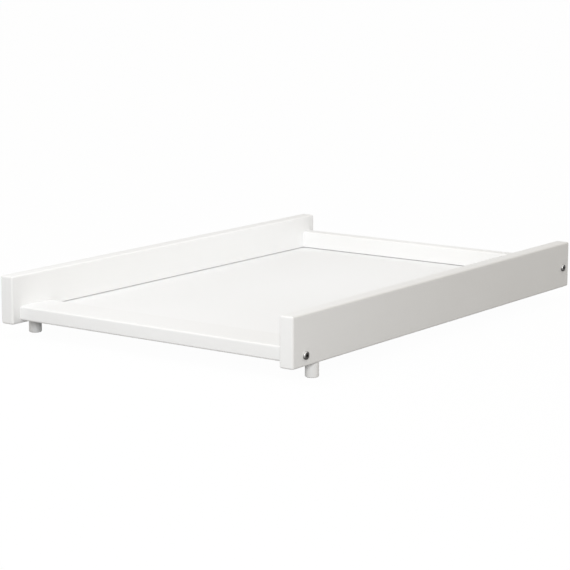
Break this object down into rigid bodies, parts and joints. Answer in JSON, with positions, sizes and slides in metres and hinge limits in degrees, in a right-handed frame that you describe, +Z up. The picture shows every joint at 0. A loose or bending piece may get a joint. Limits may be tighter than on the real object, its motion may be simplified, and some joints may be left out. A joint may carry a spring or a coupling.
{
  "type": "changing top",
  "caption": "White open-fronted changing tray with long side boards, a low front rail, a taller back rail, a base panel held in grooves and locating pegs below.",
  "frame": {"origin": "middle of the plan, level with the lower ends of the pegs", "axes": "+Z up, +Y from the open front to the back, +X to the right as seen from the front"},
  "size_m": [0.5556, 0.8, 0.097],
  "materials": {
    "white_lacquer": "satin white lacquer on board",
    "white_panel": "white faced fibreboard",
    "white_peg": "satin white lacquer on turned wood",
    "dark_nickel": "dark nickel plate",
    "bright_zinc": "bright zinc plate",
    "beech": "plain turned beech"
  },
  "bodies": {
    "root": {"front_rail": "white_lacquer", "back_rail": "white_lacquer", "base_panel": "white_panel", "left_side_board": "white_lacquer", "left_dowel": "beech", "front_left_bolt": "dark_nickel", "front_left_barrel_nut": "bright_zinc", "back_left_bolt": "dark_nickel", "back_left_barrel_nut": "bright_zinc", "front_left_peg": "white_peg", "front_left_peg_screw": "bright_zinc", "right_side_board": "white_lacquer", "right_dowel": "beech", "front_right_bolt": "dark_nickel", "front_right_barrel_nut": "bright_zinc", "back_right_bolt": "dark_nickel", "back_right_barrel_nut": "bright_zinc", "front_right_peg": "white_peg", "front_right_peg_screw": "bright_zinc"}
  },
  "joints": []
}
